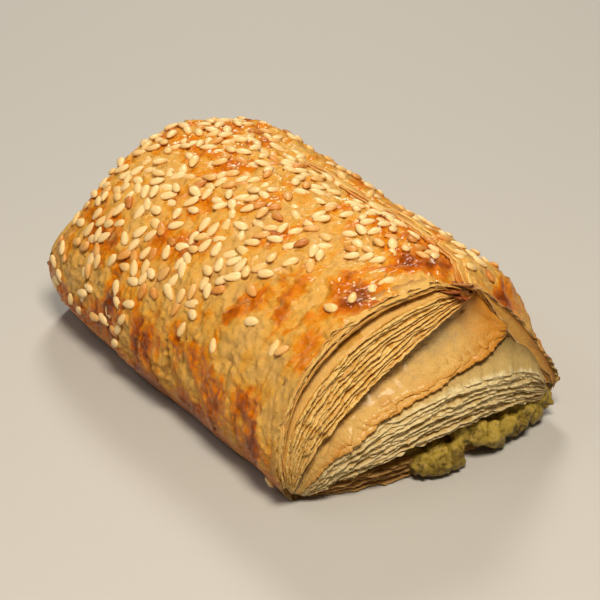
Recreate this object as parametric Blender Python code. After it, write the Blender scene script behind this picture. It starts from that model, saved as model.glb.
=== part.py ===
"""Potato borek: a short roll of puff pastry folded round mashed potato, strewn with sesame.

Run it with: blender --background --python part.py, or from Blender's text editor.

+X runs out of the shown end, +Y is the side of the overlap seam, and Z = 0 is the tray.
Sizes are in millimetres, and become metres where a vertex is placed.
"""

import math
import random

import bmesh
import bpy
from mathutils import Matrix, Vector, noise

MM = 0.001

# The roll's section, looked at from its shown end
HEIGHT = 37.4  # top of the crust above the tray
FOLD_WAIST = 13.0  # height at which the folded side, at -Y, stands out furthest
SEAM_WAIST = 8.0  # and the seam side, at +Y
FOLD_REACH = 33.4  # middle line to the folded side
FOLD_TAPER = 1.2  # and how much less it is at the shown end
SEAM_REACH = 31.5  # middle line to the seam side
FOLD_ROUNDNESS = 2.15  # exponent of the section over the folded shoulder
SEAM_ROUNDNESS = 1.8  # the seam shoulder slopes more
BASE_ROUNDNESS = 2.2
BASE_DROP = 1.62  # lowest point of the round form, in waist heights: the tray cuts it off flat
CORE_HEIGHT = 12.0  # the middle that unevenness and insets are measured from

# The roll's length
FRONT_RIM = 41.0  # where the crust ends at the shown end
BACK_RIM = -45.0
PINCH_START = 31.0  # where the seam side starts to draw in towards the shown end
PINCH_ROUNDNESS = 1.3
PINCH_REACH = 1.2
UNDERCUT = 3.0  # how far the shown end's crust leans back at the tray
UNDERCUT_HEIGHT = 9.0
BACK_TAPER = 22.0  # length over which the far end draws in
BACK_FALL = 0.8  # how much of a full round-off that is
BACK_WIDTH_LOSS = 0.10
BACK_HEIGHT_LOSS = 0.13
BACK_ROUNDNESS = 1.35  # the folded shoulder is rounder at the far end
BACK_HOLLOW = 6.0  # the far rim stands back this much at the folded shoulder
BACK_HOLLOW_ANGLE = math.radians(145)
BACK_HOLLOW_SPREAD = math.radians(32)

# The overlap: the seam side's sheet lies on the other and ends in a low step
SEAM_ANGLE = math.radians(65)
SEAM_STEP = 1.2
SEAM_STEP_ANGLE = math.radians(2.5)
SEAM_FADE_ANGLE = math.radians(12)

# Puffed unevenness of the crust
LUMP = 0.75
LUMP_SIZE = 15.0
PLEAT = 0.45  # soft pleats down the folded side
PLEAT_SIZE = 7.5
PLEAT_LENGTH = 1.25  # in radians round the section

# Mesh of the crust
AROUND = 36
ALONG = 20
CRUST_THICKNESS = 1.8
CUP_DEPTH = 8.0  # how far the crust's rim stands over the body behind the flaky end

# The flaky ends: creases are lines across them, from the fold's hinge to the seam side
COLUMNS = 20
END_INSET = 0.97  # the flakes' outline inside the crust's
RIM_LEAD = 0.6  # how far they stand out past its rim
HINGE_ANGLE = math.radians(200)
SWELL_POWER = 0.7
RIDGE = 0.75  # how far one flake stands out past the next
RIDGE_WANDER = 0.5
FLAKE_LENGTH = 9.0
FLAKE_PITCH = 2.0
SLAB_BACK = 30.0  # how far back in the crust the flakes are solid
BACK_RELIEF = 0.5  # the far end's forms stand out less
HOLLOW_REACH = 26.0

# The filling: a flat oval running through, fitted with a small gap
FILLING_MIDDLE = (6.5, 5.0)
FILLING_HALF_WIDTH = 20.0
FILLING_HALF_HEIGHT = 3.6
FILLING_FRONT = 46.4
FILLING_BACK = -47.0
FILLING_RINGS = 24
FILLING_SIDES = 20
FILLING_CAP_STEP = 0.3  # share of its radius between the rings of its ends
FILLING_LUMP = 1.3
FILLING_LUMP_SIZE = 5.0
FILLING_ROUND_OFF = 1.6  # how far its ends are rounded back at their edge
FILLING_FREE_SHARE = 0.03  # the share of its length at each end that is lumpy
FIT_GAP = 0.35
TUNNEL_LENGTH = 140.0

# Sesame
SEED_LENGTH = 3.5
SEED_WIDTH = 2.3
SEED_THICKNESS = 1.3
SEED_TAPER = 0.5  # how much narrower the pointed end is
SEED_TOP = 0.5  # width of a seed's top as a share of its foot
SEED_SINK = 0.35  # share of its thickness below the crust
SEED_SIDES = 6
SEED_SPACING = 4.5
SEED_COUNT = 150
SEED_DRAWS = 6000
SEED_FRONT = 31.0  # how far towards the shown end they lie thick on top
SEED_DRIFT = 24.0  # and how much less at the sides, for each radian
SEED_EDGE = 9.0
SEED_ROUND = (0.35, math.pi + 0.15)  # the angles between which they lie
SEED_SEAM_SHARE = 0.16  # how thick they lie past the seam
SEED_SIDE_ANGLE = 0.85  # where they thin out down the folded side, from the top
SEED_SIDE_SHARE = 0.12
SEED_STRAY = 0.03

# The middle of the box that holds everything lies here before it is moved to the origin
BOX_MIDDLE = (0.05, -1.05)


def smooth_step(value):
    value = min(1.0, max(0.0, value))
    return value * value * (3.0 - 2.0 * value)


def back_draw(x):
    """How far the far end is drawn in at x, from 0 to 1."""
    inside = min(1.0, max(0.0, (BACK_RIM + BACK_TAPER - x) / BACK_TAPER))
    return 1.0 - math.sqrt(1.0 - inside * inside * BACK_FALL)


def pinch(x):
    """How far the seam side is drawn in at x, from 0 to 1."""
    return smooth_step((x - PINCH_START) / (FRONT_RIM - PINCH_START))


def fold_side(x):
    """Reach, waist height and roundness of the folded side at x."""
    reach = FOLD_REACH - FOLD_TAPER * smooth_step((x + FRONT_RIM / 2.0) / FRONT_RIM)
    return reach, FOLD_WAIST, FOLD_ROUNDNESS + (BACK_ROUNDNESS - FOLD_ROUNDNESS) * back_draw(x)


def seam_side(x):
    """The same of the seam side."""
    roundness = SEAM_ROUNDNESS + (PINCH_ROUNDNESS - SEAM_ROUNDNESS) * pinch(x)
    return SEAM_REACH - PINCH_REACH * pinch(x), SEAM_WAIST, roundness


def hollow(angle):
    """How far the far end's rim stands back at an angle."""
    away = math.remainder(angle - BACK_HOLLOW_ANGLE, math.tau) / BACK_HOLLOW_SPREAD
    return BACK_HOLLOW * math.exp(-away * away)


def lean(z):
    """How far the shown end's crust leans back at a height."""
    return UNDERCUT * smooth_step(1.0 - z / UNDERCUT_HEIGHT)


def unevenness(x, y, z, angle):
    """Outward swelling of the crust: lumps, pleats on the folded side, and the seam's step."""
    lump = LUMP * noise.noise(Vector((x, y, z)) / LUMP_SIZE)
    pleat = PLEAT * noise.noise(Vector((x / PLEAT_SIZE, angle / PLEAT_LENGTH, 0.0)))
    pleat *= smooth_step(-2.0 * math.cos(angle))
    step = SEAM_STEP * smooth_step((SEAM_ANGLE - angle) / SEAM_STEP_ANGLE)
    step *= smooth_step((angle - SEAM_FADE_ANGLE) / (SEAM_ANGLE - SEAM_FADE_ANGLE))
    return lump + pleat + step


def skin(x, angle, inset=1.0):
    """A point of the crust, in millimetres: angle 0 is the seam side, a right angle the top."""
    cosine, sine = math.cos(angle), math.sin(angle)
    reach, waist, roundness = fold_side(x) if cosine < 0.0 else seam_side(x)
    reach *= 1.0 - BACK_WIDTH_LOSS * back_draw(x)
    rise = HEIGHT * (1.0 - BACK_HEIGHT_LOSS * back_draw(x)) - waist
    if sine < 0.0:
        rise, roundness = BASE_DROP * waist, BASE_ROUNDNESS
    y = math.copysign(reach * abs(cosine) ** (2.0 / roundness), cosine)
    z = waist - CORE_HEIGHT + math.copysign(rise * abs(sine) ** (2.0 / roundness), sine)
    grown = inset * (1.0 + unevenness(x, y, z, angle) / math.hypot(y, z))
    return Vector((x, y * grown, max(0.0, CORE_HEIGHT + z * grown)))


def bezier(points, s):
    a, b, c, d = (Vector(p) for p in points)
    r = 1.0 - s
    return a * r**3 + b * (3.0 * r * r * s) + c * (3.0 * r * s * s) + d * s**3


def rim(s, far):
    """The flakes' outer line, just inside the crust, from the hinge over the top to the seam."""
    angle = HINGE_ANGLE + (SEAM_ANGLE - HINGE_ANGLE) * s
    point = skin(BACK_RIM if far else FRONT_RIM, angle, END_INSET)
    point.x = FRONT_RIM + RIM_LEAD - lean(point.z)
    return point


def crease(across, ends_x, middle_x):
    """A line across the end, as a function of s: a curve in Y and Z that swells or dips in X."""

    def line(s, far):
        y, z = bezier(across, s)
        swell = math.sin(math.pi * s) ** SWELL_POWER if 0.0 < s < 1.0 else 0.0
        x = ends_x[0] + (ends_x[1] - ends_x[0]) * s + (middle_x - sum(ends_x) / 2.0) * swell
        if far:
            y *= 1.0 - BACK_WIDTH_LOSS * back_draw(BACK_RIM)
            z *= 1.0 - BACK_HEIGHT_LOSS * back_draw(BACK_RIM)
        return Vector((x, y, z))

    return line


# Creases from the crust down to the tray. Each is the line's four (y, z) handles and its X.
LIP = crease([(-28.5, 3.2), (-26.0, 18.0), (-8.0, 27.0), (10.2, 32.6)], (40.2, 41.0), 43.6)
FOLD = crease([(-27.8, 2.8), (-24.5, 15.5), (-7.0, 24.5), (12.2, 30.2)], (39.4, 38.5), 36.6)
BROW = crease([(-27.0, 2.4), (-24.0, 17.0), (-3.0, 19.0), (16.4, 24.0)], (39.8, 43.0), 47.2)
STEP = crease([(-26.6, 2.0), (-23.5, 15.5), (-2.0, 17.4), (17.4, 21.6)], (39.6, 41.6), 45.6)
BAND = crease([(-26.2, 1.7), (-20.0, 15.6), (5.0, 20.5), (24.6, 12.4)], (39.6, 42.5), 48.0)
BELLY = crease([(-25.8, 1.3), (-16.0, 10.5), (6.0, 10.8), (26.4, 6.8)], (39.2, 42.0), 47.6)
SOLE = crease([(-25.0, 0.5), (-10.0, 0.5), (10.0, 0.5), (26.6, 0.5)], (38.2, 38.8), 43.9)

# (crease above, crease below, rows between them, whether they are ridged as flakes)
TIERS = [
    (rim, LIP, 8, True),
    (LIP, FOLD, 1, False),
    (FOLD, BROW, 3, False),
    (BROW, STEP, 1, False),
    (STEP, BAND, 2, False),
    (BAND, BELLY, 8, True),
    (BELLY, SOLE, 2, False),
]
ROWS = sum(tier[2] for tier in TIERS)


def end_point(s, row, far):
    """A point of a flaky end: s runs across it, and rows run from the crust to the tray."""
    for above, below, rows, ridged in TIERS:
        if row <= rows:
            break
        row -= rows
    point = above(s, far).lerp(below(s, far), row / rows)
    if ridged and 0 < row < rows:
        wander = noise.noise(Vector((point.y / FLAKE_LENGTH, point.z / FLAKE_PITCH, 0.0)))
        point.x += RIDGE * (1.0 + wander) * (1.0 if row % 2 else -1.0)
        point.z += RIDGE_WANDER * wander
    return point


def to_far_end(point):
    """Turns a point of the shown end to the far end, which is flatter and stands back at the fold."""
    angle = math.atan2(point.z - CORE_HEIGHT, point.y)
    outward = min(1.0, math.hypot(point.y, point.z - CORE_HEIGHT) / HOLLOW_REACH)
    x = BACK_RIM - (point.x - FRONT_RIM) * BACK_RELIEF + hollow(angle) * outward
    return Vector((x, point.y, point.z))


def placed(point):
    """Millimetres from the roll's own lines to metres from the middle of its base."""
    return Vector((point.x - BOX_MIDDLE[0], point.y - BOX_MIDDLE[1], point.z)) * MM


def material(name, color, roughness):
    made = bpy.data.materials.new(name)
    made.use_nodes = True
    shader = made.node_tree.nodes["Principled BSDF"]
    shader.inputs["Base Color"].default_value = (*color, 1.0)
    shader.inputs["Roughness"].default_value = roughness
    shader.inputs["Metallic"].default_value = 0.0
    return made


def object_from(bm, name, collection, surface=None):
    if bm.calc_volume(signed=True) < 0.0:
        bmesh.ops.reverse_faces(bm, faces=bm.faces)
    mesh = bpy.data.meshes.new(name)
    bm.to_mesh(mesh)
    bm.free()
    made = bpy.data.objects.new(name, mesh)
    collection.objects.link(made)
    if surface:
        mesh.materials.append(surface)
    return made


def slice_up(bm, axis, pieces):
    """Cuts the unit block across an axis into equal pieces."""
    normal = Vector((0.0, 0.0, 0.0))
    normal[axis] = 1.0
    for cut in range(1, pieces):
        bmesh.ops.bisect_plane(
            bm,
            geom=bm.verts[:] + bm.edges[:] + bm.faces[:],
            plane_co=normal * (cut / pieces - 0.5),
            plane_no=normal,
        )


def unit_rod(sides, pieces):
    """A closed rod along X, one unit long and of radius 1, cut across into pieces."""
    bm = bmesh.new()
    along_x = Matrix.Rotation(math.pi / 2.0, 4, "Y")
    bmesh.ops.create_cone(
        bm, cap_ends=True, segments=sides, radius1=1.0, radius2=1.0, depth=1.0, matrix=along_x
    )
    slice_up(bm, 0, pieces)
    return bm


def inset_caps(bm, sides, width, push):
    """Insets both ends of a rod and pushes their middles in."""
    for outward in (1.0, -1.0):
        bm.normal_update()
        caps = [face for face in bm.faces if len(face.verts) == sides]
        cap = [face for face in caps if face.normal.x * outward > 0.5]
        bmesh.ops.inset_region(bm, faces=cap, thickness=width, use_even_offset=True)
        bmesh.ops.translate(bm, verts=cap[0].verts[:], vec=(-outward * push, 0.0, 0.0))


def section_angle(angle):
    """Moves the two evenly spaced angles nearest the seam to the foot and top of its step."""
    spacing = math.tau / AROUND
    foot = round(SEAM_ANGLE / spacing) * spacing
    if abs(angle - foot) < spacing / 4.0:
        return SEAM_ANGLE
    if abs(angle - foot + spacing) < spacing / 4.0:
        return SEAM_ANGLE - SEAM_STEP_ANGLE
    return angle


def crust(collection, surface):
    """The crust with its flat base and, at each end, a cup that its rim stands round."""
    bm = unit_rod(AROUND, ALONG)
    for vert in bm.verts:
        angle = section_angle(math.atan2(vert.co.z, vert.co.y))
        along = vert.co.x + 0.5
        point = skin(BACK_RIM + (FRONT_RIM - BACK_RIM) * along, angle)
        point.x += hollow(angle) * (1.0 - along) ** 4 - lean(point.z) * along**4
        vert.co = placed(point)
    inset_caps(bm, AROUND, CRUST_THICKNESS * MM, CUP_DEPTH * MM)
    bmesh.ops.triangulate(bm, faces=bm.faces)
    return object_from(bm, "pastry", collection, surface)


def flaky_end(name, far, collection):
    """A block whose outer face is the fan of flakes and whose back lies inside the crust."""
    bm = bmesh.new()
    bmesh.ops.create_cube(bm, size=1.0)
    slice_up(bm, 1, COLUMNS)
    slice_up(bm, 2, ROWS)
    for vert in bm.verts:
        s = vert.co.y + 0.5
        point = end_point(s, round((0.5 - vert.co.z) * ROWS), far)
        if vert.co.x < 0.0:
            point.x = SLAB_BACK
        if far:
            point = to_far_end(point)
        vert.co = placed(point)
    bmesh.ops.triangulate(bm, faces=bm.faces)
    return object_from(bm, name, collection)


def in_filling(unit, x_from, x_to, clearance):
    """Stretches a point of the unit rod to the filling's flat oval, grown by the clearance."""
    return Vector((
        x_from + (x_to - x_from) * (unit.x + 0.5),
        FILLING_MIDDLE[0] + unit.y * (FILLING_HALF_WIDTH + clearance),
        FILLING_MIDDLE[1] + unit.z * (FILLING_HALF_HEIGHT + clearance),
    ))


def tunnel(collection):
    """What is cut from the pastry for the filling to run through."""
    bm = unit_rod(FILLING_SIDES, 1)
    for vert in bm.verts:
        vert.co = placed(in_filling(vert.co, -TUNNEL_LENGTH / 2.0, TUNNEL_LENGTH / 2.0, FIT_GAP))
    return object_from(bm, "tunnel", collection)


def filling(collection, surface):
    """The mashed potato, with lumpy ends."""
    bm = unit_rod(FILLING_SIDES, FILLING_RINGS)
    for _ in range(2):
        inset_caps(bm, FILLING_SIDES, FILLING_CAP_STEP, 0.0)
    for vert in bm.verts:
        point = in_filling(vert.co, FILLING_BACK, FILLING_FRONT, 0.0)
        free = max(0.0, 1.0 - (0.5 - abs(vert.co.x)) / FILLING_FREE_SHARE)
        lump = noise.noise(point / FILLING_LUMP_SIZE) * FILLING_LUMP
        edge = abs(vert.co.y) ** 4 * math.copysign(FILLING_ROUND_OFF, vert.co.x)
        point.x += free * (lump - edge)
        vert.co = placed(point)
    bmesh.ops.triangulate(bm, faces=bm.faces)
    return object_from(bm, "filling", collection, surface)


def seed_density(x, angle):
    """How thick the sesame lies at a place of the crust, from 0 to 1."""
    if angle < SEAM_ANGLE:
        return SEED_SEAM_SHARE
    from_top = max(0.0, angle - math.pi / 2.0)
    inside = smooth_step((SEED_FRONT - SEED_DRIFT * from_top - x) / SEED_EDGE)
    side = 1.0 - smooth_step((from_top - SEED_SIDE_ANGLE) * 2.0)
    return max(SEED_STRAY, inside * max(SEED_SIDE_SHARE, side))


def seed_places(spacing, count):
    """Places, turns and sizes of the sesame: seeded draws that keep their distance."""
    draw = random.Random(12)
    places = []
    for _ in range(SEED_DRAWS):
        x = draw.uniform(BACK_RIM + 1.5, FRONT_RIM - 2.0)
        angle = draw.uniform(*SEED_ROUND)
        turn = draw.uniform(0.0, math.tau)
        size = draw.uniform(0.88, 1.12)
        chosen = draw.random() < seed_density(x, angle)
        if not chosen or len(places) == count:
            continue
        point = skin(x, angle)
        if all((point - other[0]).length > spacing for other in places):
            places.append((point, turn, size))
    return places


def seed(name, place, crust_object, collection):
    """One sesame seed, a flat drop that is blunt at one end, partly sunk in the crust."""
    point, turn, size = place
    _, middle, up, _ = crust_object.closest_point_on_mesh(placed(point))
    sideways = up.cross(Vector((1.0, 0.0, 0.0))).normalized()
    long_way = Matrix.Rotation(turn, 3, up) @ sideways
    wide_way = up.cross(long_way)
    bm = bmesh.new()
    bmesh.ops.create_cone(
        bm, cap_ends=True, segments=SEED_SIDES, radius1=0.5, radius2=SEED_TOP / 2.0, depth=1.0
    )
    for vert in bm.verts:
        length, width, height = vert.co
        taper = 1.0 - SEED_TAPER * (length + 0.5) ** 2
        vert.co = (
            middle
            + long_way * (length * SEED_LENGTH * size * MM)
            + wide_way * (width * SEED_WIDTH * size * taper * MM)
            + up * ((height + 0.5 - SEED_SINK) * SEED_THICKNESS * MM)
        )
    return object_from(bm, name, collection)


def apply_boolean(target, operation, collection):
    """Joins a collection's objects to the target or cuts them from it, then removes them."""
    modifier = target.modifiers.new(operation.lower(), "BOOLEAN")
    modifier.operation = operation
    modifier.solver = "MANIFOLD"
    modifier.operand_type = "COLLECTION"
    modifier.collection = collection
    graph = bpy.context.evaluated_depsgraph_get()
    mesh = bpy.data.meshes.new_from_object(target.evaluated_get(graph))
    target.modifiers.clear()
    target.data = mesh
    for helper in list(collection.objects):
        bpy.data.objects.remove(helper)


def drop_scraps(target):
    """Keeps the largest piece of a joined mesh, without loose scraps or hollows sealed in it."""
    bm = bmesh.new()
    bm.from_mesh(target.data)
    unseen = set(bm.verts)
    pieces = []
    while unseen:
        piece = {unseen.pop()}
        frontier = list(piece)
        while frontier:
            vert = frontier.pop()
            near = {edge.other_vert(vert) for edge in vert.link_edges} & unseen
            unseen -= near
            piece |= near
            frontier.extend(near)
        pieces.append(piece)
    pieces.sort(key=len)
    for piece in pieces[:-1]:
        bmesh.ops.delete(bm, geom=list(piece), context="VERTS")
    bm.to_mesh(target.data)
    bm.free()


def main():
    for old in list(bpy.data.objects):
        bpy.data.objects.remove(old)
    borek = bpy.data.collections.new("potato_borek")
    joined = bpy.data.collections.new("joined")
    joined.hide_render = True
    bpy.context.scene.collection.children.link(borek)
    bpy.context.scene.collection.children.link(joined)

    baked = material("baked puff pastry", (0.72, 0.43, 0.16), 0.45)
    mash = material("potato filling", (0.62, 0.47, 0.13), 0.6)

    pastry = crust(borek, baked)
    flaky_end("shown_end", False, joined)
    flaky_end("far_end", True, joined)
    for number, place in enumerate(seed_places(SEED_SPACING, SEED_COUNT)):
        seed(f"sesame_{number:03d}", place, pastry, joined)
    apply_boolean(pastry, "UNION", joined)
    tunnel(joined)
    apply_boolean(pastry, "DIFFERENCE", joined)
    drop_scraps(pastry)
    bpy.data.collections.remove(joined)

    filling(borek, mash)
    for made in borek.objects:
        made.data.shade_smooth()
        made.data.set_sharp_from_angle(angle=math.radians(40))


main()
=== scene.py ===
import math
import random

import bmesh
import bpy
from mathutils import Matrix, Vector, noise


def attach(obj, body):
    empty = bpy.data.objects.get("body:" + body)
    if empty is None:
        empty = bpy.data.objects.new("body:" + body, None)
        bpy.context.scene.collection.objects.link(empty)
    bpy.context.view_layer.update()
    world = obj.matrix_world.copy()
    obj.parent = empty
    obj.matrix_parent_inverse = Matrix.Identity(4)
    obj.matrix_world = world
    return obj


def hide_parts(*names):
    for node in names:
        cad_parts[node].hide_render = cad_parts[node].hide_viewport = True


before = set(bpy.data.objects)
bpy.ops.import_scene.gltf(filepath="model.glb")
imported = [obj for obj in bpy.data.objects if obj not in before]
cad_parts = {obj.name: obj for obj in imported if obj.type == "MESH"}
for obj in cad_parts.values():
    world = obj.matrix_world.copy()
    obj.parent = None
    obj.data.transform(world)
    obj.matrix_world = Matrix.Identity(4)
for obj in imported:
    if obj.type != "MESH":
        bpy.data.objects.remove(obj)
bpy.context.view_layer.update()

# A potato borek: a short roll of puff pastry folded round mashed potato, strewn with sesame.
# Sizes are in millimetres along the roll's own lines: +X out of the shown end, +Y the seam side,
# Z = 0 the tray. Angles go round the roll's section: 0 is the seam side, a quarter turn the top.
mm = 0.001

roll = {
    "height": 37.4,
    "foldWaist": 13.0,
    "seamWaist": 8.0,
    "foldReach": 33.4,
    "foldTaper": 1.2,
    "seamReach": 31.5,
    "foldRoundness": 2.15,
    "seamRoundness": 1.8,
    "baseRoundness": 2.2,
    "baseDrop": 1.62,
    "coreHeight": 12.0,
    "frontRim": 41.0,
    "backRim": -45.0,
    "pinchStart": 31.0,
    "pinchRoundness": 1.3,
    "pinchReach": 1.2,
    "undercut": 3.0,
    "undercutHeight": 9.0,
    "backTaper": 22.0,
    "backFall": 0.8,
    "backWidthLoss": 0.10,
    "backHeightLoss": 0.13,
    "backRoundness": 1.35,
    "backHollow": 6.0,
    "hollowAngle": math.radians(145),
    "hollowSpread": math.radians(32),
    "farRelief": 0.5,  # how much of the shown end's relief the far end has
    "farMiddle": 26.0,  # nearer the core than this, the far end's hollow fades out
    "seamAngle": math.radians(65),
    "seamStep": 1.2,
    "seamStepAngle": math.radians(2.5),
    "seamFadeAngle": math.radians(12),
    "lump": 0.75,
    "lumpSize": 15.0,
    "boxMiddle": (0.05, -1.05),
    "arcLength": 26.0,  # millimetres of crust for each radian
}


def smooth(value):
    value = min(1.0, max(0.0, value))
    return value * value * (3.0 - 2.0 * value)


def bump(value, middle, spread):
    away = (value - middle) / spread
    return math.exp(-away * away)


def wave(x, y, z=0.0):
    return noise.noise(Vector((x, y, z)))


def place(point):
    return Vector((point.x - roll["boxMiddle"][0], point.y - roll["boxMiddle"][1], point.z)) * mm


def backDraw(x):
    inside = min(1.0, max(0.0, (roll["backRim"] + roll["backTaper"] - x) / roll["backTaper"]))
    return 1.0 - math.sqrt(1.0 - inside * inside * roll["backFall"])


def pinch(x):
    return smooth((x - roll["pinchStart"]) / (roll["frontRim"] - roll["pinchStart"]))


def foldSide(x):
    reach = roll["foldReach"] - roll["foldTaper"] * smooth((x + roll["frontRim"] / 2.0) / roll["frontRim"])
    roundness = roll["foldRoundness"] + (roll["backRoundness"] - roll["foldRoundness"]) * backDraw(x)
    return reach, roll["foldWaist"], roundness


def seamSide(x):
    roundness = roll["seamRoundness"] + (roll["pinchRoundness"] - roll["seamRoundness"]) * pinch(x)
    return roll["seamReach"] - roll["pinchReach"] * pinch(x), roll["seamWaist"], roundness


def hollow(angle):
    away = math.remainder(angle - roll["hollowAngle"], math.tau) / roll["hollowSpread"]
    return roll["backHollow"] * math.exp(-away * away)


def lean(z):
    return roll["undercut"] * smooth(1.0 - z / roll["undercutHeight"])


# A point of the crust, grown outwards by some millimetres or drawn in by a share
def skin(x, angle, inset=1.0, outward=0.0):
    cosine, sine = math.cos(angle), math.sin(angle)
    reach, waist, roundness = foldSide(x) if cosine < 0.0 else seamSide(x)
    reach *= 1.0 - roll["backWidthLoss"] * backDraw(x)
    rise = roll["height"] * (1.0 - roll["backHeightLoss"] * backDraw(x)) - waist
    if sine < 0.0:
        rise, roundness = roll["baseDrop"] * waist, roll["baseRoundness"]
    y = math.copysign(reach * abs(cosine) ** (2.0 / roundness), cosine)
    z = waist - roll["coreHeight"] + math.copysign(rise * abs(sine) ** (2.0 / roundness), sine)
    lump = roll["lump"] * noise.noise(Vector((x, y, z)) / roll["lumpSize"])
    step = roll["seamStep"] * smooth((roll["seamAngle"] - angle) / roll["seamStepAngle"])
    step *= smooth((angle - roll["seamFadeAngle"]) / (roll["seamAngle"] - roll["seamFadeAngle"]))
    grown = inset * (1.0 + (lump + step + outward) / math.hypot(y, z))
    return Vector((x, y * grown, max(0.0, roll["coreHeight"] + z * grown)))


# How far the crust is drawn along the roll: in at the far end's hollow, back under the shown end
def endShift(along, angle, z):
    return hollow(angle) * (1.0 - along) ** 4 - lean(z) * along**4


def bezier(points, s):
    a, b, c, d = (Vector(p) for p in points)
    r = 1.0 - s
    return a * r**3 + b * (3.0 * r * r * s) + c * (3.0 * r * s * s) + d * s**3


# Lines across an open end run from the fold's hinge at s = 0 to the seam side at s = 1. This kind follows the crust,
# drawn in by a share, from one angle through a sweep, and stands ahead of the rim.
def rimAt(inset, degrees=200.0, sweep=135.0, ahead=0.6):
    def line(s, far):
        point = skin(roll["backRim"] if far else roll["frontRim"], math.radians(degrees - sweep * s), inset)
        point.x = roll["frontRim"] + ahead - lean(point.z)
        return point

    return line


# This kind is a curve on four (y, z) points, at endsX on its ends and swelling to middleX between them
def crease(across, endsX, middleX):
    def line(s, far):
        y, z = bezier(across, s)
        swell = math.sin(math.pi * s) ** 0.7 if 0.0 < s < 1.0 else 0.0
        x = endsX[0] + (endsX[1] - endsX[0]) * s + (middleX - sum(endsX) / 2.0) * swell
        if far:
            y *= 1.0 - roll["backWidthLoss"] * backDraw(roll["backRim"])
            z *= 1.0 - roll["backHeightLoss"] * backDraw(roll["backRim"])
        return Vector((x, y, z))

    return line


# The near edge of the first broad sheet, part of the way from the rim to the lip
def wrapLine(s, far):
    share = 0.03 + 0.24 * smooth(s * 2.2)
    return rimLine(s, far).lerp(lipLine(s, far), share)


# The second sheet's lower edge, carried on down the seam side
def eaveLine(s, far):
    turn = 0.72
    return stepLine(s / turn, far) if s < turn else browEndLine((s - turn) / (1.0 - turn), far)


crustLine = rimAt(1.0)
rimLine = rimAt(0.97)
innerLine = rimAt(0.92)
sideRimLine = rimAt(0.985, 66.0, 76.0, 0.4)
lipLine = crease([(-28.5, 3.2), (-26.0, 18.0), (-8.0, 27.0), (10.2, 32.6)], (40.2, 41.0), 43.6)
foldLine = crease([(-27.8, 2.8), (-24.5, 15.5), (-7.0, 24.5), (12.2, 30.2)], (39.4, 39.0), 37.8)
browLine = crease([(-27.0, 2.4), (-24.0, 18.5), (-3.0, 21.5), (16.0, 24.6)], (39.8, 43.0), 47.0)
stepLine = crease([(-26.6, 2.0), (-23.5, 17.0), (-2.0, 20.3), (16.4, 22.6)], (39.6, 42.4), 46.8)
crownLine = crease([(-26.4, 1.9), (-23.0, 18.0), (16.0, 25.5), (26.0, 9.0)], (39.6, 42.6), 48.0)
bellyLine = crease([(-25.8, 1.3), (-16.0, 7.5), (4.0, 13.0), (26.4, 5.4)], (39.2, 42.0), 47.4)
floorLine = crease([(-25.7, 1.25), (-14.5, 7.4), (-2.0, 3.2), (26.6, 1.7)], (38.9, 39.6), 45.4)
soleLine = crease([(-25.0, 0.5), (-10.0, 0.5), (10.0, 0.5), (26.6, 0.5)], (38.2, 38.8), 43.9)
browEndLine = crease([(16.4, 22.6), (21.0, 20.8), (25.6, 15.8), (27.0, 8.6)], (42.4, 42.0), 42.6)
flapLine = crease([(9.7, 34.5), (14.0, 27.0), (19.0, 17.5), (29.4, 8.2)], (41.4, 41.0), 42.2)
cheekLine = crease([(11.5, 30.6), (13.0, 26.0), (19.0, 18.5), (26.4, 8.0)], (39.6, 41.0), 42.4)


# Takes a point of the shown end to the far one, which is flatter and has a hollow
def toFarEnd(point):
    angle = math.atan2(point.z - roll["coreHeight"], point.y)
    outward = min(1.0, math.hypot(point.y, point.z - roll["coreHeight"]) / roll["farMiddle"])
    x = roll["backRim"] - (point.x - roll["frontRim"]) * roll["farRelief"] + hollow(angle) * outward
    return Vector((x, point.y, point.z))


# Colours are sRGB hex, as an eye reads them, turned to linear light
def colour(code):
    parts = [int(code[i : i + 2], 16) / 255.0 for i in (1, 3, 5)]
    return [p / 12.92 if p <= 0.04045 else ((p + 0.055) / 1.055) ** 2.4 for p in parts] + [1.0]


# Adds a node, sets its values, links the inputs given as sockets, and gives back one output. Inputs go by name or
# number: a MapRange takes its value as 0, the range that it comes from as 1 and 2, and the new range as 3 and 4.
def addNode(tree, kind, inputs=None, output=0, stops=(), **settings):
    made = tree.nodes.new("ShaderNode" + kind)
    for name, value in settings.items():
        setattr(made, name, value)
    for name, value in (inputs or {}).items():
        if isinstance(value, bpy.types.NodeSocket):
            tree.links.new(value, made.inputs[name])
        else:
            made.inputs[name].default_value = value
    for number, (position, code) in enumerate(stops):
        elements = made.color_ramp.elements
        element = elements[number] if number < 2 else elements.new(position)
        element.position = position
        element.color = colour(code)
    return made.outputs[output]


def newMaterial(name, values):
    material = bpy.data.materials.new(name)
    material.use_nodes = True
    shader = material.node_tree.nodes["Principled BSDF"]
    for socket, value in values.items():
        shader.inputs[socket].default_value = value
    return material, material.node_tree


def linkShader(material, outputs):
    tree = material.node_tree
    for socket, output in outputs.items():
        tree.links.new(output, tree.nodes["Principled BSDF"].inputs[socket])
    return material


# From dry and pale through golden wash to dark brown
crustTones = [
    (0.0, "#D0A45C"), (0.28, "#D8A750"), (0.43, "#D79C3A"), (0.50, "#D68A16"),
    (0.66, "#CC7208"), (0.84, "#A65204"), (1.0, "#7C3802"),
]


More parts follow.
